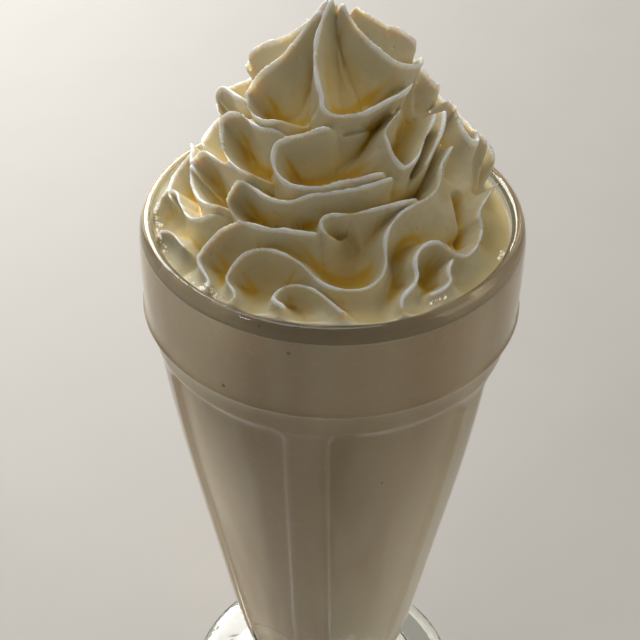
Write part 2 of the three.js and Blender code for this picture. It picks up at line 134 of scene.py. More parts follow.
# Crest outline of the cream heap, and of the hollows between its folds, from the tip down
HEAP_CREST = [(0.4, 244), (5, 240.3), (10.5, 235), (16, 229), (20.3, 222.5), (24.2, 216), (28, 209.5),
              (31.8, 203), (35.6, 197), (39.4, 192.6), (41.9, 189.8)]
HEAP_HOLLOW = [(0.3, 238.5), (2, 233.4), (5, 226.8), (9.8, 220), (14.2, 213.4), (18.2, 206.8),
               (21.8, 200.2), (25.4, 194), (29.8, 188.8), (35.6, 186), (41.5, 185.4)]
OUTLINE_POINTS = 1601

# Where the piped rope was laid wider: angle, height, extra radius, spread round and spread up
SWELLS = [(106, 230.5, 3.6, 24, 5), (106, 215, 2.4, 32, 7), (106, 201.5, 6, 32, 7),
          (-105, 227, 2.6, 20, 4.5), (-106, 216, 3.8, 16, 3.5), (-106, 200.5, 2, 20, 4)]

# Crest lines of the folds seen from the front, as the places where the piped edge turns:
# angle, height, and the way it runs there
LEVEL, UPRIGHT, ONWARD = "level", "upright", "onward"
FRONT_FOLDS = {
    "petal back": [(-52, 241, ONWARD), (-88, 233.5, ONWARD), (-104, 227, UPRIGHT), (-90, 223, ONWARD)],
    "petal left": [(-62, 243, ONWARD), (-62, 232.4, ONWARD), (-76, 223.2, UPRIGHT), (-57, 221.2, LEVEL),
                   (-23, 225.4, ONWARD)],
    "petal front": [(-40, 243, ONWARD), (-31, 237.4, ONWARD), (-13, 230.1, ONWARD), (-9, 227.6, UPRIGHT),
                    (6, 225.5, LEVEL), (42, 226.6, ONWARD), (66, 226.4, ONWARD), (94, 227.2, ONWARD)],
    "petal right": [(30, 242.4, ONWARD), (51, 236, ONWARD), (68, 231.2, ONWARD), (92, 227.8, ONWARD),
                    (107, 226.2, UPRIGHT), (98, 221, ONWARD)],
    "petal far": [(93, 241, ONWARD), (106, 236.5, ONWARD), (112, 231.5, UPRIGHT), (106, 225, ONWARD)],
    "fin left": [(-66, 222.6, ONWARD), (-86, 220, ONWARD), (-104, 216.8, UPRIGHT), (-101, 212.5, ONWARD),
                 (-90, 210, ONWARD)],
    "loop high left": [(-24, 221.4, LEVEL), (-58, 219.8, LEVEL), (-83, 214.6, UPRIGHT), (-53, 211.2, LEVEL),
                       (-31, 213.5, ONWARD)],
    "loop high middle": [(9, 224.3, ONWARD), (-13, 222.4, ONWARD), (-33, 217.6, UPRIGHT),
                         (-18, 212.4, LEVEL), (10, 214.2, ONWARD), (38, 214.8, ONWARD)],
    "pocket high right": [(63, 225.7, ONWARD), (32, 220.8, UPRIGHT), (39, 214.3, LEVEL),
                          (60, 217.5, ONWARD), (90, 220, ONWARD)],
    "loop mid left": [(-38, 211.3, ONWARD), (-58, 210.5, ONWARD), (-88, 203.5, UPRIGHT),
                      (-70, 200.5, LEVEL), (-45, 205.1, ONWARD)],
    "loop mid front": [(40, 213.8, ONWARD), (-7, 211.4, ONWARD), (-26, 208.9, LEVEL), (-44, 209.7, LEVEL),
                       (-49, 205.7, UPRIGHT), (-36, 202.8, LEVEL), (-9, 205.9, ONWARD)],
    "curl mid": [(50, 207.8, ONWARD), (26, 208.5, ONWARD), (2, 208, LEVEL), (-4, 206.3, UPRIGHT),
                 (1, 204.3, LEVEL), (7, 205.6, ONWARD)],
    "loop low left": [(-84, 188.3, UPRIGHT), (-90, 191.5, UPRIGHT), (-80, 195.8, LEVEL),
                      (-71, 196.2, LEVEL), (-47, 203.5, ONWARD)],
    "petal low left": [(-71, 188.3, UPRIGHT), (-71, 190.3, UPRIGHT), (-62, 192.6, LEVEL),
                       (-50, 193.4, ONWARD)],
    "loop low front": [(-39, 188.2, UPRIGHT), (-49, 193.7, UPRIGHT), (-30, 203.5, LEVEL),
                       (-9, 204.2, LEVEL), (1, 206.2, ONWARD)],
    "sweep low": [(-29, 188.3, UPRIGHT), (-35, 193.3, UPRIGHT), (-22, 199.9, LEVEL), (9, 194.4, LEVEL),
                  (21, 199.9, UPRIGHT), (29, 206.1, ONWARD), (52, 207.7, ONWARD), (63, 211.3, ONWARD),
                  (85, 212, ONWARD)],
    "curl low": [(-13, 188.3, UPRIGHT), (-17, 191.7, UPRIGHT), (-10, 194.9, LEVEL), (5, 188.6, ONWARD)],
    "sweep right": [(22, 188.3, UPRIGHT), (31, 195.9, UPRIGHT), (39, 199.4, LEVEL), (55, 193.9, LEVEL),
                    (68, 197.9, UPRIGHT), (80, 199.5, LEVEL), (96, 196, ONWARD)],
    "curl right": [(53, 193.4, ONWARD), (48, 194.8, LEVEL), (42, 192.4, UPRIGHT), (33, 190.9, LEVEL)],
    "steep right": [(42, 210.9, ONWARD), (60, 214.4, ONWARD), (84, 217, ONWARD), (98, 219.5, ONWARD)],
    "shoulder right": [(98, 220, ONWARD), (106, 213, ONWARD), (106, 206, UPRIGHT), (98, 200, ONWARD)],
}

# Narrow creases where one fold is pressed against the next: depth as a share of the fold height,
# half width, and the places where the crease turns
CREASES = {
    "between petals": (0.9, 2.4, [(20, 240.5, ONWARD), (27, 237.5, ONWARD), (32, 233.8, ONWARD),
                                  (31, 229, ONWARD)]),
    "under petal front": (0.5, 1.6, [(8, 224.6, ONWARD), (28, 225, ONWARD), (50, 225.2, ONWARD),
                                     (80, 225.4, ONWARD)]),
    "across loop high": (0.5, 1.5, [(46, 224.8, ONWARD), (33, 223.6, ONWARD), (16, 221, ONWARD),
                                    (4, 219, ONWARD)]),
    "steep upper": (0.38, 1.5, [(90, 219.2, ONWARD), (72, 217.4, ONWARD), (60, 216, ONWARD),
                                (49, 213.4, ONWARD)]),
    "steep lower": (0.38, 1.6, [(94, 216.8, ONWARD), (76, 214.9, ONWARD), (64, 212.9, ONWARD),
                                (54, 210, ONWARD), (43, 209.2, ONWARD)]),
    "pleat right": (0.4, 1.8, [(76, 204.5, ONWARD), (70, 201, ONWARD), (66, 198, ONWARD),
                               (62, 195.5, ONWARD)]),
    "inside petal": (0.35, 2.2, [(-46, 236, ONWARD), (-40, 231, ONWARD), (-34, 226.5, ONWARD)]),
}

# Where the cream is fuller, above 0, or scooped out inside a loop, below 0: angle, height, spread
# round, spread up and amount
FULLNESS = [(-70, 225.5, 12, 2.6, -0.55), (-74, 216.5, 12, 2.6, -0.5), (-24, 217.4, 12, 2.6, -0.5),
            (-76, 204.5, 9, 2.4, -0.5), (-42, 207, 9, 1.6, -0.5), (3, 206.4, 4, 1.2, -0.6),
            (-80, 192.5, 8, 2.6, -0.4), (-42, 197, 8, 4, -0.5), (-22, 194.5, 9, 3.2, -0.5),
            (-9, 191.8, 4.5, 1.5, -0.5), (40, 195.6, 5, 2.5, -0.5), (44, 219, 7, 3, -0.35),
            (28, 218.5, 10, 2.2, 0.45), (68, 215, 16, 5, 0.5), (-16, 225.8, 6, 1.6, 0.3),
            (62, 203, 13, 4.5, 0.45), (82, 203.5, 9, 3.5, 0.4)]

# Clusters of froth bubbles: middle angle, spread, height, spread up and count
FROTH = [(-84, 9, 190.1, 0.35, 60), (-70, 6, 190.2, 0.4, 22), (-42, 9, 190.1, 0.4, 50),
         (74, 6, 190.1, 0.3, 14), (34, 6, 190.0, 0.3, 12), (100, 9, 214, 6, 16), (104, 8, 226, 3, 8)]
FROTH_LEAST = 0.12
FROTH_MOST = 0.4

# Brown vanilla specks at the wall of the glass: angle, height and radius
SPECKS = [(-10.8, 180.9, 0.5), (-31.7, 166, 0.6), (-23.1, 163.7, 0.45), (-19.6, 186, 0.35),
          (21.5, 133.3, 0.4), (150, 140, 0.5), (-120, 150, 0.5), (96, 110, 0.45)]
SPECK_INSIDE = 0.1

# Mark of the cream that has melted against the wall of the glass
MELTED = -3

# How far the cream's edge climbs above its usual height at the wall: angle, climb and spread
EDGE_CLIMBS = [(-2, 1.9, 30), (30, 0.5, 12), (-100, 0.5, 30), (150, 0.8, 40)]
EDGE_REACH = 7

# Where the edge climbs by more than this, the cream laps over the rim, fully so a little higher
LAP_STARTS = 0.5
LAP_EASE = 1.2
LAP_TOP = 189.9

# Skirt under the cream's edge, from its first ring, which follows the edge, to the underside. The
# others are radius, height, and how much wider and higher they are where the cream laps over
SKIRT_RADIUS = 42.2
SKIRT_WIDER = 1.3
SKIRT_DROP = 0.3
WALL_RADIUS = CAVITY_OUTLINE[1][0] + INTO_WALL
UNDERSIDE = 183.9
SKIRT_RINGS = [(WALL_RADIUS, 186, 1.2, 3.2), (WALL_RADIUS - 0.1, 185.2, 0, 3),
               (WALL_RADIUS, UNDERSIDE, 0, 0), (21, UNDERSIDE, 0, 0)]

# Unevenness of hand-piped cream: waves per millimetre, shift and height, and where it begins
KNEADING = [(0.16, (0, 0, 0), 0.45), (0.55, (7, 3, 1), 0.12)]
KNEADED_FROM = 186
KNEADED_EASE = 5

# Folds round the back follow the same habit: petals under the tip, then rounds of loops, which are
# given as height, height from edge to edge, turn to the next loop, reach, and first angle
BACK_PETALS = (152, 190, 226)
PETAL_SWING = 20
PETAL_FOOT = 225
LOOP_ROUNDS = [(219.5, 8.5, 42, 46, 106), (209, 8, 36, 38, 92), (198, 8.5, 30, 30, 104)]
LOOP_UNEVEN = 0.22
LOOP_SHIFT = 1.2
BACK_TO = 252


def seeded_draw(seed):
    """Even draws between 0 and 1 that are the same each time."""
    factor, wrap = 16807, 2147483647
    state = seed
    while True:
        state = (state * factor) % wrap
        yield state / wrap


def back_folds():
    """Turns of the folds round the back."""
    draw = seeded_draw(7)

    def uneven():
        return 1 + LOOP_UNEVEN * (2 * next(draw) - 1)

    folds = []
    for angle in BACK_PETALS:
        swing = PETAL_SWING * uneven()
        foot = PETAL_FOOT + 1.5 * next(draw)
        folds.append([(angle, 236, ONWARD), (angle - 0.6 * swing, 232.8, ONWARD),
                      (angle - swing, 229, UPRIGHT), (angle - 0.4 * swing, foot, LEVEL),
                      (angle + swing, foot + 2, ONWARD)])
    for height, gap, step, reach, start in LOOP_ROUNDS:
        angle = start
        while angle < BACK_TO:
            half = 0.5 * gap * uneven()
            middle = height + LOOP_SHIFT * (2 * next(draw) - 1)
            run = reach * uneven()
            folds.append([(angle + run, middle + half + 1.2, ONWARD),
                          (angle + 0.4 * run, middle + half, LEVEL), (angle, middle, UPRIGHT),
                          (angle + 0.35 * run, middle - half, LEVEL),
                          (angle + 0.9 * run, middle - half + 2, ONWARD)])
            angle += step * uneven()
    return folds


def smooth(x):
    x = np.clip(x, 0, 1)
    return x * x * (3 - 2 * x)


def spline(points, count):
    """A smooth curve through the points, sampled evenly in its own measure."""
    p = np.array(points, float)
    last = len(p) - 1
    t = np.linspace(0, last, count)
    i = np.minimum(t.astype(int), last - 1)
    w = (t - i)[:, None]
    p0, p1, p2, p3 = p[np.maximum(i - 1, 0)], p[i], p[i + 1], p[np.minimum(i + 2, last)]
    v0, v1 = (p2 - p0) / 2, (p3 - p1) / 2
    return (2 * p1 - 2 * p2 + v0 + v1) * w ** 3 + (3 * p2 - 3 * p1 - 2 * v0 - v1) * w ** 2 + v0 * w + p1


crest_outline = spline(HEAP_CREST, OUTLINE_POINTS)
hollow_outline = spline(HEAP_HOLLOW, OUTLINE_POINTS)
along_outline = np.concatenate([[0], np.cumsum(np.hypot(*np.diff(crest_outline, axis=0).T))])
HEAP_LENGTH = along_outline[-1]


def heap_at(along):
    """Crest and hollow places, radius and height, at distances down the heap."""
    out = np.stack([np.interp(along, along_outline, crest_outline[:, k]) for k in (0, 1)], -1)
    inner = np.stack([np.interp(along, along_outline, hollow_outline[:, k]) for k in (0, 1)], -1)
    return out, inner


def along_at_height(height):
    return np.interp(-height, -crest_outline[:, 1], along_outline)


def crest_line(turns, steps=14, least_radius=4):
    """A fold's crest from turn to turn: angles, distances down the heap, and share of full height."""
    angle = np.array([t[0] for t in turns], float)
    along = along_at_height(np.array([t[1] for t in turns], float))
    per_degree = math.radians(max(heap_at(along)[0][:, 0].mean(), least_radius))
    flat = np.stack([angle * per_degree, along], 1)
    last = len(flat) - 1

    def heading(i):
        way = flat[min(i + 1, last)] - flat[max(i - 1, 0)]
        if turns[i][2] == LEVEL:
            way = way * (1, 0)
        if turns[i][2] == UPRIGHT:
            way = way * (0, 1)
        return way / max(np.hypot(*way), 1e-9)

    def handle(i, step):
        if turns[i][2] == LEVEL:
            return ROUND_HANDLE * abs(step[0])
        if turns[i][2] == UPRIGHT:
            return ROUND_HANDLE * abs(step[1])
        return ONWARD_HANDLE * np.hypot(*step)

    t = np.linspace(0, 1, steps + 1)[:, None]
    stretches = []
    for i in range(last):
        a, b = flat[i], flat[i + 1]
        c = a + heading(i) * handle(i, b - a)
        d = b - heading(i + 1) * handle(i + 1, b - a)
        stretch = (1 - t) ** 3 * a + 3 * (1 - t) ** 2 * t * c + 3 * (1 - t) * t * t * d + t ** 3 * b
        stretches.append(stretch[min(i, 1):])
    p = np.concatenate(stretches)
    run = np.concatenate([[0], np.cumsum(np.hypot(*np.diff(p, axis=0).T))])
    near_tip = heap_at(p[:, 1])[0][:, 0] < TIP_RADIUS
    from_wall, to_wall = p[[0, -1], 1] > HEAP_LENGTH - WALL_ENDS
    from_start = np.where(near_tip | from_wall, run[-1], run)
    to_end = np.minimum(from_start, np.where(to_wall, run[-1], run[-1] - run))
    return p[:, 0] / per_degree, p[:, 1], FADED_SHARE + (1 - FADED_SHARE) * smooth(to_end / FOLD_FADE)


crest_lines = [crest_line(turns) for turns in [*FRONT_FOLDS.values(), *back_folds()]]
crease_lines = [(depth, half, crest_line(turns)) for depth, half, turns in CREASES.values()]


def turned(angle):
    """The same angle between -180 and 180."""
    return (angle + 180) % 360 - 180


def fold_profile(gap, down, radius):
    """Share of the full fold height left at a distance, gap, from the crest. down is how far the
    crest lies down the heap from the place."""
    soft = np.hypot(gap, LIP_ROUND) - LIP_ROUND
    below = smooth(0.5 - 0.5 * down / (gap + 1e-6))
    width = np.minimum(CREVICE_WIDTH + below * (FACE_WIDTH - CREVICE_WIDTH), TIP_SHARE * radius + TIP_WIDTH)
    sharpness = CREVICE_SHARPNESS + below * (FACE_SHARPNESS - CREVICE_SHARPNESS)
    fin = np.maximum(0, 1 - soft / FIN_WIDTH) ** 2
    return FIN_SHARE * fin + (1 - FIN_SHARE) * np.maximum(0, 1 - soft / width) ** sharpness


def nearest_on(line, angle, along, per_x, per_y):
    """For each place, offsets to the line's segments in the given measures, and the part along each."""
    la, ls, _ = line
    ax = (la[None, :-1] - angle[:, None]) * per_x[:, None]
    ay = (ls[None, :-1] - along[:, None]) * per_y
    dx = np.diff(la)[None, :] * per_x[:, None]
    dy = np.diff(ls)[None, :] * per_y
    part = np.clip(-(ax * dx + ay * dy) / (dx * dx + dy * dy + 1e-12), 0, 1)
    return ax + part * dx, ay + part * dy, part


def beside(line, angle, along, reach_angle, reach):
    """Places within reach of a line, with their angles turned to the line's own side."""
    la, ls, _ = line
    middle, half = (la.min() + la.max()) / 2, (la.max() - la.min()) / 2
    rel = turned(angle - middle)
    near = np.abs(rel) < half + reach_angle
    pick = np.nonzero(near & (along > ls.min() - reach) & (along < ls.max() + reach))[0]
    return pick, rel[pick] + middle


def rise_at(angle, along, least_radius=2.5):
    """Height of the cream between hollow, 0, and crest, 1."""
    radius = heap_at(along)[0][:, 0]
    per_degree = np.radians(np.maximum(radius, least_radius))
    rise = np.zeros(len(angle))
    for line in crest_lines:
        pick, own = beside(line, angle, along, FOLD_REACH / per_degree, FOLD_REACH)
        if not len(pick):
            continue
        x, y, part = nearest_on(line, own, along[pick], per_degree[pick], 1)
        gap = np.hypot(x, y)
        k = gap.argmin(1)
        row = np.arange(len(pick))
        lift = line[2][k] + part[row, k] * (line[2][k + 1] - line[2][k])
        share = fold_profile(gap[row, k], y[row, k], radius[pick])
        rise[pick] = np.maximum(rise[pick], lift * share)
    level = heap_at(along)[0][:, 1]
    off_lip = 1 - smooth((rise - LIP_STARTS) / LIP_EASE)
    for middle, height, wide, tall, amount in FULLNESS:
        share = np.exp(-(turned(angle - middle) / wide) ** 2 - ((level - height) / tall) ** 2)
        rise += off_lip * share * amount * (1 - rise if amount > 0 else rise)
    for depth, half, line in crease_lines:
        pick, own = beside(line, angle, along, CREASE_REACH / per_degree, CREASE_REACH)
        if not len(pick):
            continue
        x, y, part = nearest_on(line, own, along[pick], per_degree[pick], 1)
        gap = np.hypot(x, y).min(1)
        rise[pick] -= off_lip[pick] * depth * np.maximum(0, 1 - gap / half) ** 2
    return rise


def onto_crests(angle, along, column_step, row_step, reach_angle=3, reach=1):
    """Moves each grid place onto the nearest crest that passes within half a cell of it."""
    least = np.full(len(angle), 0.5)
    moved_angle, moved_along, lift = angle.copy(), along.copy(), np.zeros(len(angle))
    for line in crest_lines:
        pick, own = beside(line, angle, along, reach_angle, reach)
        if not len(pick):
            continue
        x, y, part = nearest_on(line, own, along[pick], 1 / column_step[pick], 1 / row_step)
        off = np.maximum(np.abs(x), np.abs(y))
        k = off.argmin(1)
        row = np.arange(len(pick))
        better = (off[row, k] < least[pick]) & (along[pick] < HEAP_LENGTH - row_step / 2)
        sel, row, k = pick[better], row[better], k[better]
        least[sel] = off[row, k]
        moved_angle[sel] = angle[sel] + x[row, k] * column_step[sel]
        moved_along[sel] = along[sel] + y[row, k] * row_step
        lift[sel] = line[2][k] + part[row, k] * (line[2][k + 1] - line[2][k])
    return moved_angle, moved_along, lift


def cream_places(angle, along, rise):
    """Points of the cream, with the swellings of the piped rope and the climbs of the edge."""
    out, inner = heap_at(along)
    place = inner + rise[:, None] * (out - inner)
    radius = place[:, 0].copy()
    for middle, height, extra, wide, tall in SWELLS:
        radius += extra * np.exp(-(turned(angle - middle) / wide) ** 2 - ((out[:, 1] - height) / tall) ** 2)
    t = np.radians(angle)
    height = place[:, 1] + edge_climb(angle) * smooth(1 - (HEAP_LENGTH - along) / EDGE_REACH)
    return np.stack([radius * np.sin(t), -radius * np.cos(t), height], 1)


def edge_climb(angle):
    return sum(climb * np.exp(-(turned(angle - middle) / spread) ** 2)
               for middle, climb, spread in EDGE_CLIMBS)


def heap_rings():
    """Rings down the heap as distance and column angles, and the step from ring to ring."""
    rows = int(round(HEAP_LENGTH / GRID_STEP))
    rings = []
    for k in range(1, rows + 1):
        along = HEAP_LENGTH * k / rows
        radius = float(heap_at(along)[0][0])
        columns = FEWEST_COLUMNS * 2 ** sum(radius >= wide for wide in COLUMNS_DOUBLE)
        rings.append((along, np.arange(columns) * 360 / columns))
    return rings, HEAP_LENGTH / rows


def softened(points, faces, rounds, share):
    """Each point drawn towards the middle of its neighbours, which rounds the lips of the folds."""
    edges = np.concatenate([faces[:, [0, 1]], faces[:, [1, 2]], faces[:, [2, 0]]])
    for _ in range(rounds):
        total = np.zeros_like(points)
        count = np.zeros(len(points))
        for a, b in ((0, 1), (1, 0)):
            np.add.at(total, edges[:, a], points[edges[:, b]])
            np.add.at(count, edges[:, a], 1)
        points = points + share * (total / count[:, None] - points)
    return points


def pocket_depth(angle, along, rise, least_radius=5):
    """How far each place lies behind the cream round it, and most of all behind the lip below."""
    aside = np.degrees(LIP_ASIDE / np.maximum(heap_at(along)[0][:, 0], least_radius))
    below = np.maximum(*[rise_at(angle, along + reach) for reach in LIPS_BELOW])
    above = rise_at(angle, along - LIP_ABOVE)
    others = np.mean([above, rise_at(angle + aside, along), rise_at(angle - aside, along)], axis=0)
    return np.clip(BELOW_SHARE * below + (1 - BELOW_SHARE) * others - rise, 0, 1)


def heap_faces(rings, rise):
    """Triangles between the rings and up to the tip, the last point. Each cell is cut along its
    prouder diagonal, so that the cut follows the crests."""
    faces = []
    start = 0
    for (_, here), (_, below) in zip(rings, rings[1:]):
        n, m = len(here), len(below)
        i = np.arange(n)
        j = (i + 1) % n
        under = start + n
        if n == m:
            a, b, c, d = start + i, start + j, under + j, under + i
            prouder = (rise[a] + rise[c] >= rise[b] + rise[d])[:, None]
            faces.append(np.where(prouder, np.stack([a, c, b], 1), np.stack([a, d, b], 1)))
            faces.append(np.where(prouder, np.stack([a, d, c], 1), np.stack([b, d, c], 1)))
        else:
            a, b = start + i, start + j
            c, d, e = under + 2 * i, under + 2 * i + 1, under + (2 * i + 2) % m
            faces += [np.stack(t, 1) for t in ((a, c, d), (a, d, b), (b, d, e))]
        start += n
    tip = start + len(rings[-1][1])
    i = np.arange(len(rings[0][1]))
    faces.append(np.stack([np.full(len(i), tip), i, (i + 1) % len(i)], 1))
    return np.concatenate(faces)


def skirt(points, angle):
    """Points and triangles that carry the heap's last ring to the wall of the glass and close its
    underside. The heap's points end with that ring and the tip."""
    t = np.radians(angle)
    count = len(angle)
    first, tip = len(points) - 1 - count, len(points) - 1
    over = smooth((edge_climb(angle) - LAP_STARTS) / LAP_EASE)
    edge = points[first:tip, 2]
    rings = [(SKIRT_RADIUS + SKIRT_WIDER * over, edge + over * (LAP_TOP - edge) - SKIRT_DROP)]
    for radius, height, wider, higher in SKIRT_RINGS:
        rings.append((radius + wider * over, height + higher * over))
    here = np.arange(count)
    onward = (here + 1) % count
    faces = []
    start = len(points)
    for _ in rings:
        a, b, c, d = first + here, first + onward, start + here, start + onward
        faces += [np.stack([a, d, b], 1), np.stack([a, c, d], 1)]
        first, start = start, start + count
    faces.append(np.stack([first + here, np.full(count, start), first + onward], 1))
    added = [np.stack([radius * np.sin(t), -radius * np.cos(t), height], 1) for radius, height in rings]
    return np.concatenate([*added, [[0, 0, UNDERSIDE]]]), np.concatenate(faces)


def cream_surface():
    """Points, triangles, height between hollow and crest, and depth of the pockets."""
    rings, row_step = heap_rings()
    angle = np.concatenate([a for _, a in rings])
    along = np.concatenate([np.full(len(a), s) for s, a in rings])
    column_step = np.concatenate([np.full(len(a), 360 / len(a)) for _, a in rings])
    angle, along, lift = onto_crests(angle, along, column_step, row_step)
    rise = np.maximum(rise_at(angle, along), lift)
    pocket = pocket_depth(angle, along, rise)
    points = np.concatenate([cream_places(angle, along, rise), [[0, 0, HEAP_CREST[0][1]]]])
    rise, pocket = np.append(rise, 1), np.append(pocket, 0)
    faces = heap_faces(rings, rise)
    points = softened(points, faces, SOFT_ROUNDS, SOFT_SHARE)
    added, closing = skirt(points, rings[-1][1])
    points, faces = np.concatenate([points, added]), np.concatenate([faces, closing])
    rise = np.append(rise, np.full(len(added), MELTED))
    return points, faces, rise, np.append(pocket, np.zeros(len(added)))


def beads(centres, sizes, rounds=7, columns=12):
    """Small balls as points and faces, from their middles and radii."""
    points, faces = [], []
    for centre, radius in zip(centres, sizes):
        first = len(points)
        for row in range(rounds + 1):
            polar = math.pi * row / rounds
            for column in range(columns):
                turn = 2 * math.pi * column / columns
                points.append((centre[0] + radius * math.sin(polar) * math.cos(turn),
                               centre[1] + radius * math.sin(polar) * math.sin(turn),
                               centre[2] + radius * math.cos(polar)))
        for row in range(rounds):
            for column in range(columns):
                a, b = first + row * columns + column, first + row * columns + (column + 1) % columns
                faces.append((a, a + columns, b + columns, b))
    return points, faces


def froth_beads():
    """Bubbles in clusters on the cream."""
    draw = seeded_draw(11)
    angle, height, size = [], [], []
    for middle, spread, level, climb, count in FROTH:
        for _ in range(count):
            angle.append(middle + spread * (next(draw) + next(draw) - 1))
            height.append(level + climb * (2 * next(draw) - 1))
            size.append(FROTH_LEAST + (FROTH_MOST - FROTH_LEAST) * next(draw) ** 3)
    angle, along = np.array(angle), along_at_height(np.array(height))
    return beads(cream_places(angle, along, rise_at(angle, along)), size)


def speck_beads():
    """Brown vanilla specks, just inside the wall of the glass."""
    low_to_high = CAVITY_OUTLINE[::-1]
    centres = []
    for angle, height, _ in SPECKS:
        radius = np.interp(height, [z for _, z in low_to_high], [r for r, _ in low_to_high]) - SPECK_INSIDE
        t = math.radians(angle)
        centres.append((radius * math.sin(t), -radius * math.cos(t), height))
    return beads(centres, [size for _, _, size in SPECKS])


def made_piece(name, points, faces, finish, attributes=None):
    """A smooth-shaded piece from points in millimetres, riding on the glass's body."""
    mesh = bpy.data.meshes.new(name)
    mesh.from_pydata((np.asarray(points) * MM).tolist(), [], faces)
    mesh.polygons.foreach_set("use_smooth", [True] * len(mesh.polygons))
    for label, values in (attributes or {}).items():
        layer = mesh.attributes.new(label, "FLOAT", "POINT")
        layer.data.foreach_set("value", np.asarray(values, float))
    mesh.validate()
    mesh.materials.append(finish)
    piece = bpy.data.objects.new(name, mesh)
    bpy.context.scene.collection.objects.link(piece)
    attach(piece, "root")
    return piece


def kneaded(points, faces):
    """Small unevenness of hand-piped cream, along the surface's own normals."""
    a, b, c = points[faces[:, 0]], points[faces[:, 1]], points[faces[:, 2]]
    face_normal = np.cross(b - a, c - a)
    normal = np.zeros_like(points)
    for k in range(3):
        np.add.at(normal, faces[:, k], face_normal)
    normal /= np.linalg.norm(normal, axis=1)[:, None] + 1e-12
    amount = sum(height * np.array([noise.noise(Vector(p) * per_mm + Vector(shift)) for p in points])
                 for per_mm, shift, height in KNEADING)
    amount *= smooth((points[:, 2] - KNEADED_FROM) / KNEADED_EASE)
    return points + normal * amount[:, None]


def glass_columns():
    """Columns round the glass: panel number, whether on the rib or the panel, and place across it."""
    return [(panel, kind, x) for panel in range(PANELS)
            for kind, places in (("rib", RIB_PLACES), ("panel", PANEL_PLACES)) for x in places]


def glass_ring(radius, height, columns, panelled):
    """One ring of the glass, which follows the ribs and panels where it is panelled."""
    sector = 360 / PANELS
    rib_half = math.degrees(math.asin(min(0.5, RIB_WIDTH / 2 / max(radius, 1))))
    rib_half = min(rib_half, RIB_MOST * sector)
    span = sector - 2 * rib_half
    ring = []
    for panel, kind, x in columns:
        middle = RIB_ANGLE + sector * panel
        if kind == "rib":
            angle, inset = middle + x * rib_half, 0
        else:
            angle = middle + rib_half + x * span
            inset = panel_inset(x, radius, height, span) if panelled else 0
        t = math.radians(angle)
        ring.append(((radius - inset) * math.sin(t), -(radius - inset) * math.cos(t), height))
    return ring


def panel_inset(across, radius, height, span):
    """How far a panel lies inside the ribs, with rounded upper corners and a faded foot."""
    side = min(across, 1 - across) * math.radians(span) * radius
    down = PANEL_TOP - height
    if side < PANEL_CORNER and down < PANEL_CORNER:
        edge = PANEL_CORNER - math.hypot(PANEL_CORNER - side, PANEL_CORNER - down)
    else:
        edge = min(side, down)
    foot = float(smooth((height - PANEL_FOOT + PANEL_FOOT_REACH) / PANEL_FOOT_FADE))
    flat = PANEL_FLAT * (1 - (2 * across - 1) ** 2) * float(smooth(down / PANEL_FLAT_FADE))
    return foot * float(smooth(edge / RIB_EDGE)) * (PANEL_INSET + flat)


def bridged(rings):
    """One closed skin over rings of points; a ring of one point is a pole."""
    points, faces = [], []
    starts = []
    for ring in rings:
        starts.append(len(points))
        points += ring
    for k in range(len(rings) - 1):
        here, there = rings[k], rings[k + 1]
        count = max(len(here), len(there))
        for i in range(count):
            j = (i + 1) % count
            a, b = (starts[k] + i, starts[k] + j) if len(here) > 1 else (starts[k],) * 2
            c, d = (starts[k + 1] + i, starts[k + 1] + j) if len(there) > 1 else (starts[k + 1],) * 2
            faces.append(tuple(dict.fromkeys((a, b, d, c))))
    return points, faces


def glass_skin():
    columns = glass_columns()
    outside = FOOT_OUTLINE + BOWL_OUTLINE
    stations = outside + CAVITY_OUTLINE
    outline = spline(stations, OUTLINE_STEPS * (len(stations) - 1) + 1)
    rings = []
    for k, (radius, height) in enumerate(outline):
        level = max(height, 0)
        ring = glass_ring(radius, level, columns, k < OUTLINE_STEPS * len(outside))
        rings.append(ring if radius > POLE_RADIUS else [(0, 0, level)])
    return bridged(rings)


def drink_skin():
    wall = [(r, z) for r, z in CAVITY_OUTLINE if z < DRINK_TOP]
    outline = spline([(CAVITY_OUTLINE[1][0], DRINK_TOP)] + wall, DRINK_ROWS)
    turns = np.linspace(0, 2 * math.pi, DRINK_COLUMNS, endpoint=False)
    rings = [[(0, 0, DRINK_TOP)]]
    for radius, height in [(DRINK_TOP_RING, DRINK_TOP)] + [tuple(p) for p in outline]:
        if radius >= POLE_RADIUS:
            grown = radius + INTO_WALL
            rings.append([(grown * math.sin(t), -grown * math.cos(t), height) for t in turns])
    rings.append([(0, 0, BOWL_FLOOR - INTO_WALL)])
    return bridged(rings)


class Wire:
    """A node socket that takes part in sums with numbers and with other sockets."""

    def __init__(self, finish, socket):
        self.finish = finish
        self.socket = socket

    def sum(self, operation, *terms):
        return self.finish.node("ShaderNodeMath", {"operation": operation}, dict(enumerate(terms)))

    def __add__(self, other):
        return self.sum("ADD", self, other)

    __radd__ = __add__

    def __sub__(self, other):
        return self.sum("SUBTRACT", self, other)

    def __rsub__(self, other):
        return self.sum("SUBTRACT", other, self)

    def __mul__(self, other):
        return self.sum("MULTIPLY", self, other)

    __rmul__ = __mul__

    def __truediv__(self, other):
        return self.sum("DIVIDE", self, other)

    def __pow__(self, other):
        return self.sum("POWER", self, other)

    def clamped(self):
        return self.finish.node("ShaderNodeClamp", {}, {"Value": self})

    def over(self, least, most):
        """0 up to least, 1 from most, and smooth between."""
        return self.finish.node("ShaderNodeMapRange", {"interpolation_type": "SMOOTHSTEP"},
                                {"Value": self, "From Min": least, "From Max": most})


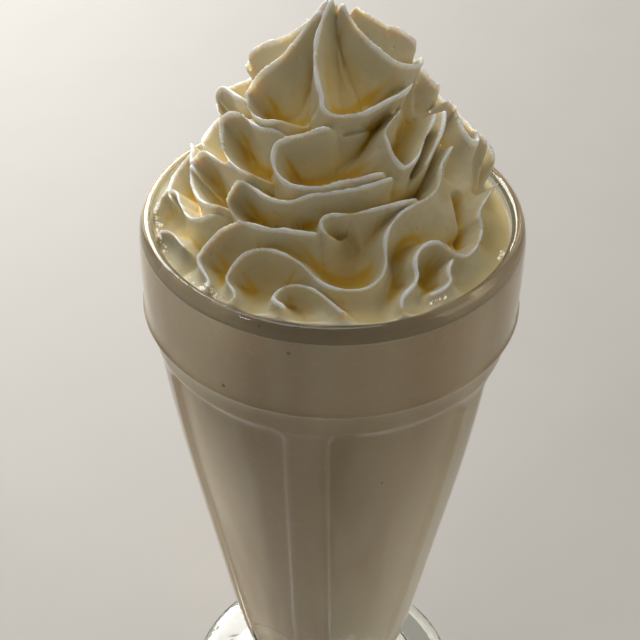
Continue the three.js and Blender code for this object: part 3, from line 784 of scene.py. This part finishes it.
class Finish:
    """A material that is being written."""

    def __init__(self, name):
        self.material = bpy.data.materials.new(name)
        self.material.use_nodes = True
        self.material.node_tree.nodes.clear()

    def node(self, kind, settings=None, sockets=None, out=0):
        """Adds a node with its settings, and the values or wires of its sockets."""
        tree = self.material.node_tree
        made = tree.nodes.new(kind)
        for name, value in (settings or {}).items():
            setattr(made, name, value)
        for name, value in (sockets or {}).items():
            if isinstance(value, Wire):
                tree.links.new(value.socket, made.inputs[name])
            else:
                made.inputs[name].default_value = value
        return Wire(self, made.outputs[out]) if len(made.outputs) else made

    def mix(self, share, first, second):
        """Colours mixed by a share, from the first to the second, each a wire or red, green, blue."""
        tree = self.material.node_tree
        made = tree.nodes.new("ShaderNodeMix")
        made.data_type = "RGBA"
        for socket, value in ((0, share), (6, first), (7, second)):
            if isinstance(value, Wire):
                tree.links.new(value.socket, made.inputs[socket])
            else:
                made.inputs[socket].default_value = (*value, 1)
        return Wire(self, made.outputs[2])

    def place(self):
        return self.node("ShaderNodeTexCoord", {}, {}, "Object")

    def coordinate(self, axis):
        """The object's own X, Y or Z in millimetres."""
        return self.node("ShaderNodeSeparateXYZ", {}, {0: self.place()}, axis) / MM

    def noise(self, per_mm, detail=3.0, rough=0.55, place=None):
        return self.node("ShaderNodeTexNoise", {}, {"Vector": place or self.place(), "Scale": per_mm / MM,
                                                    "Detail": detail, "Roughness": rough}, "Fac")

    def cells(self, per_mm):
        """Distance to the nearest of scattered points, which makes small round pores."""
        sockets = {"Vector": self.place(), "Scale": per_mm / MM}
        return self.node("ShaderNodeTexVoronoi", {}, sockets, "Distance")

    def attribute(self, name):
        return self.node("ShaderNodeAttribute", {"attribute_name": name}, {}, "Fac")

    def bump(self, height, distance_mm, strength=1.0):
        return self.node("ShaderNodeBump", {}, {"Height": height, "Distance": distance_mm * MM,
                                                "Strength": strength}, "Normal")

    def shade(self, shader):
        self.node("ShaderNodeOutputMaterial", {}, {"Surface": shader})
        return self.material


def cream_finish():
    """Whipped cream: ivory, paler along thin lips with a painted glow, and a deep yellow painted shade
    where it is deep in a pocket.
    """
    # Painted light: near white is a painted glow on thin lips, and the ivory is darker than cream is, as
    # its shaded copy
    ivory, pocket_shade_yellow, painted_lip_glow = (0.75, 0.68, 0.47), (0.77, 0.53, 0.09), (0.97, 0.955, 0.9)
    melted_in_painted_shade, melted_over_rim = (0.61, 0.5, 0.34), (0.8, 0.71, 0.53)
    f = Finish("whipped_cream")
    rise, pocket = f.attribute("rise"), f.attribute("pocket")
    drift, grain = f.noise(0.09, 2), f.noise(0.9, 4)
    # Painted shade: deeper yellow where the cream lies low between crests and deep in a pocket
    depth = (1 - rise.over(0.0, 0.5)) * 0.4 + pocket.over(0.05, 0.7) * 0.9
    painted_pocket_shade = (depth + (drift - 0.5) * 0.35).clamped()
    # Painted glow: the colour turns near white on the thinnest lips
    piped = f.mix(rise.over(0.84, 0.97), f.mix(painted_pocket_shade, ivory, pocket_shade_yellow), painted_lip_glow)
    # Painted shade: the melted cream is darker below the rim than where it laps over it
    melted = f.mix(f.coordinate("Z").over(188.4, 189.2), melted_in_painted_shade, melted_over_rim)
    pores, sparse = f.cells(0.42), f.noise(0.25, 1).over(0.56, 0.62)
    pit = (1 - pores.over(0.1, 0.28)) * sparse
    height = f.noise(0.35, 3) * 0.7 + grain * 0.22 - pit * 0.8
    shader = f.node("ShaderNodeBsdfPrincipled", {"subsurface_method": "RANDOM_WALK"}, {
        "Base Color": f.mix(1 - rise.over(-2.4, -1.0), piped, melted),
        "Roughness": 0.36 + 0.16 * grain, "Normal": f.bump(height, 0.35, 0.55),
        "Subsurface Weight": 1.0, "Subsurface Radius": (1.0, 0.75, 0.42), "Subsurface Scale": 0.9 * MM,
        "IOR": 1.4, "Specular IOR Level": 0.45, "Coat Weight": 0.12, "Coat Roughness": 0.18})
    return f.shade(shader)


def froth_finish():
    """Wet bubbles of froth: clear and shiny, with a milky film and a faint painted glow."""
    clear, milky = (1.0, 0.99, 0.95), (0.96, 0.93, 0.84)
    f = Finish("froth")
    film = f.noise(0.8, 2)
    # The emission is a painted glow, which keeps the bubbles white where they lie in shade
    shader = f.node("ShaderNodeBsdfPrincipled", {}, {
        "Base Color": f.mix(film, clear, milky), "Roughness": 0.04 + 0.06 * film,
        "Transmission Weight": 0.15, "IOR": 1.4, "Coat Weight": 1.0, "Coat Roughness": 0.02,
        "Emission Color": (1, 0.98, 0.9, 1), "Emission Strength": 0.3})
    return f.shade(shader)


def drink_finish():
    """Vanilla milkshake: smooth warm beige with slow upright streaks, paler towards the foot, as painted
    shade browns its upper part.
    """
    # The upper colours are painted shade, browner than a milkshake is, as under the cream
    upper, painted_shade_upper_streak = (0.57, 0.44, 0.28), (0.67, 0.55, 0.38)
    lower, lower_streak = (0.7, 0.57, 0.4), (0.92, 0.82, 0.65)
    milky = (0.95, 0.88, 0.74)
    f = Finish("milkshake")
    stretch = {"operation": "MULTIPLY"}
    stretched = f.node("ShaderNodeVectorMath", stretch, {0: f.place(), 1: (1, 1, 0.1)}, "Vector")
    streak = f.noise(0.055, 2, 0.5, stretched).over(0.38, 0.62)
    froth = f.noise(0.5, 3)
    # Painted shade: browner from the foot up towards the top
    base = f.mix(f.coordinate("Z").over(60, 172), f.mix(streak, lower, lower_streak),
                 f.mix(streak, upper, painted_shade_upper_streak))
    shader = f.node("ShaderNodeBsdfPrincipled", {"subsurface_method": "RANDOM_WALK"}, {
        "Base Color": f.mix(froth.over(0.5, 0.8) * 0.12, base, milky),
        "Roughness": 0.4 + 0.1 * froth, "Normal": f.bump(froth, 0.05, 0.3),
        "Subsurface Weight": 1.0, "Subsurface Radius": (1.0, 0.7, 0.4), "Subsurface Scale": 2.0 * MM,
        "IOR": 1.35})
    return f.shade(shader)


def speck_finish():
    """Brown vanilla speck."""
    dark, light = (0.3, 0.18, 0.08), (0.42, 0.27, 0.13)
    f = Finish("vanilla_speck")
    shader = f.node("ShaderNodeBsdfPrincipled", {}, {
        "Base Color": f.mix(f.noise(2, 2), dark, light), "Roughness": 0.6})
    return f.shade(shader)


def glass_finish():
    """Pressed soda glass: clear, with ripples from the mould, and dark green inside the rim at the sides
    and back, partly the green of thick glass and partly painted dark refraction. Lamps shine through it on
    the drink."""
    clear, clear_ripple, rim_green_and_painted_dark = (0.95, 0.965, 0.945), (0.93, 0.95, 0.925), (0.3, 0.38, 0.33)
    f = Finish("glass")
    ripple, fine = f.noise(0.045, 2), f.noise(0.5, 2)
    height, side, front = f.coordinate("Z"), f.coordinate("X"), f.coordinate("Y")
    inner = 1 - ((side * side + front * front) ** 0.5).over(42.9, 43.6)
    # Painted dark refraction: the inside of the rim darkens to green at the sides and back, not at the
    # front
    rim = height.over(185, 187) * inner * front.over(-36, -29)
    foot = 1 - height.over(8, 16)
    wavy = ripple + f.noise(0.14, 2) * foot * 1.6
    shader = f.node("ShaderNodeBsdfPrincipled", {}, {
        "Base Color": f.mix(rim, f.mix(ripple, clear, clear_ripple), rim_green_and_painted_dark),
        "Roughness": 0.015 + 0.02 * fine, "Normal": f.bump(wavy, 0.9, 0.5),
        "Transmission Weight": 1.0, "IOR": 1.5})
    passed = f.node("ShaderNodeBsdfTransparent", {}, {"Color": (0.92, 0.93, 0.9, 1)})
    lamps = f.node("ShaderNodeLightPath", {}, {}, "Is Shadow Ray")
    return f.shade(f.node("ShaderNodeMixShader", {}, {0: lamps, 1: shader, 2: passed}))


def floor_finish():
    """Pale matt floor with a faint mottle."""
    f = Finish("pale_floor")
    shader = f.node("ShaderNodeBsdfPrincipled", {}, {
        "Base Color": f.mix(f.noise(0.02, 2), (0.47, 0.45, 0.42), (0.5, 0.48, 0.45)), "Roughness": 0.6})
    return f.shade(shader)


# Pieces
points, faces, rise, pocket = cream_surface()
marks = {"rise": rise, "pocket": pocket}
cream = made_piece("cream_heap", kneaded(points, faces), faces.tolist(), cream_finish(), marks)
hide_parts("whipped_cream")

froth = made_piece("froth_bubbles", *froth_beads(), froth_finish())

glass = made_piece("soda_glass", *glass_skin(), glass_finish())
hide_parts("glass")

specks = made_piece("vanilla_specks", *speck_beads(), speck_finish())

drink = made_piece("vanilla_drink", *drink_skin(), drink_finish())
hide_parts("milkshake")

# Floor, light and camera
FLOOR_HALF = 4

corners = [(x * FLOOR_HALF, y * FLOOR_HALF, 0) for x, y in ((-1, -1), (1, -1), (1, 1), (-1, 1))]
floor_mesh = bpy.data.meshes.new("floor")
floor_mesh.from_pydata(corners, [], [(0, 1, 2, 3)])
floor_mesh.materials.append(floor_finish())
floor = bpy.data.objects.new("floor", floor_mesh)
bpy.context.scene.collection.objects.link(floor)


def soft_light(name, place, aim, size, power, colour):
    """A lamp with a wide face, in metres and watts, which is turned to what it lights."""
    lamp = bpy.data.lights.new(name, "AREA")
    lamp.shape = "RECTANGLE"
    lamp.size, lamp.size_y = size
    lamp.energy = power
    lamp.color = colour
    holder = bpy.data.objects.new(name, lamp)
    bpy.context.scene.collection.objects.link(holder)
    holder.location = place
    holder.rotation_euler = (Vector(aim) - Vector(place)).to_track_quat("-Z", "Y").to_euler()


soft_light("window_left", (-0.55, 1.15, 0.85), (0, 0, 0.19), (0.8, 0.8), 24, (1, 0.98, 0.95))
soft_light("sky_above", (-0.15, 0.25, 1.3), (0, 0, 0.2), (0.7, 0.7), 4, (0.97, 0.98, 1))
soft_light("lamp_front", (-0.75, -0.55, 1.1), (0, 0, 0.18), (0.14, 0.14), 1.0, (1, 0.99, 0.96))
soft_light("fill_right", (1.2, -0.2, 0.7), (0, 0, 0.15), (0.9, 0.9), 2.5, (1, 0.93, 0.8))

world = bpy.data.worlds.new("room")
world.use_nodes = True
room_light = world.node_tree.nodes["Background"]
room_light.inputs["Color"].default_value = (1, 0.98, 0.93, 1)
room_light.inputs["Strength"].default_value = 0.15
bpy.context.scene.world = world
bpy.context.scene.view_settings.view_transform = "Standard"

# Camera solved from the circles of the rim and the foot, with its focal length in widths of the picture
CAMERA_PLACE = Vector((3.64, -250.56, 361.87))
CAMERA_DOWN = 39.576
CAMERA_TURN = -1.446
CAMERA_ROLL = 0.794
CAMERA_FOCUS = 1283.1 / 640
SENSOR = 36

lens = bpy.data.cameras.new("photo_view")
lens.sensor_width = SENSOR
lens.lens = SENSOR * CAMERA_FOCUS
lens.clip_start = 0.01
lens.clip_end = 20
camera = bpy.data.objects.new("photo_view", lens)
bpy.context.scene.collection.objects.link(camera)
down, turn, roll = (math.radians(x) for x in (CAMERA_DOWN, CAMERA_TURN, CAMERA_ROLL))
forward = Vector((math.sin(turn) * math.cos(down), math.cos(turn) * math.cos(down), -math.sin(down)))
across = Vector((math.cos(turn), -math.sin(turn), 0))
upward = across.cross(forward)
right = math.cos(roll) * across + math.sin(roll) * upward
upward = math.cos(roll) * upward - math.sin(roll) * across
facing = Matrix((right, upward, -forward)).transposed().to_4x4()
camera.matrix_world = Matrix.Translation(CAMERA_PLACE * MM) @ facing
bpy.context.scene.camera = camera
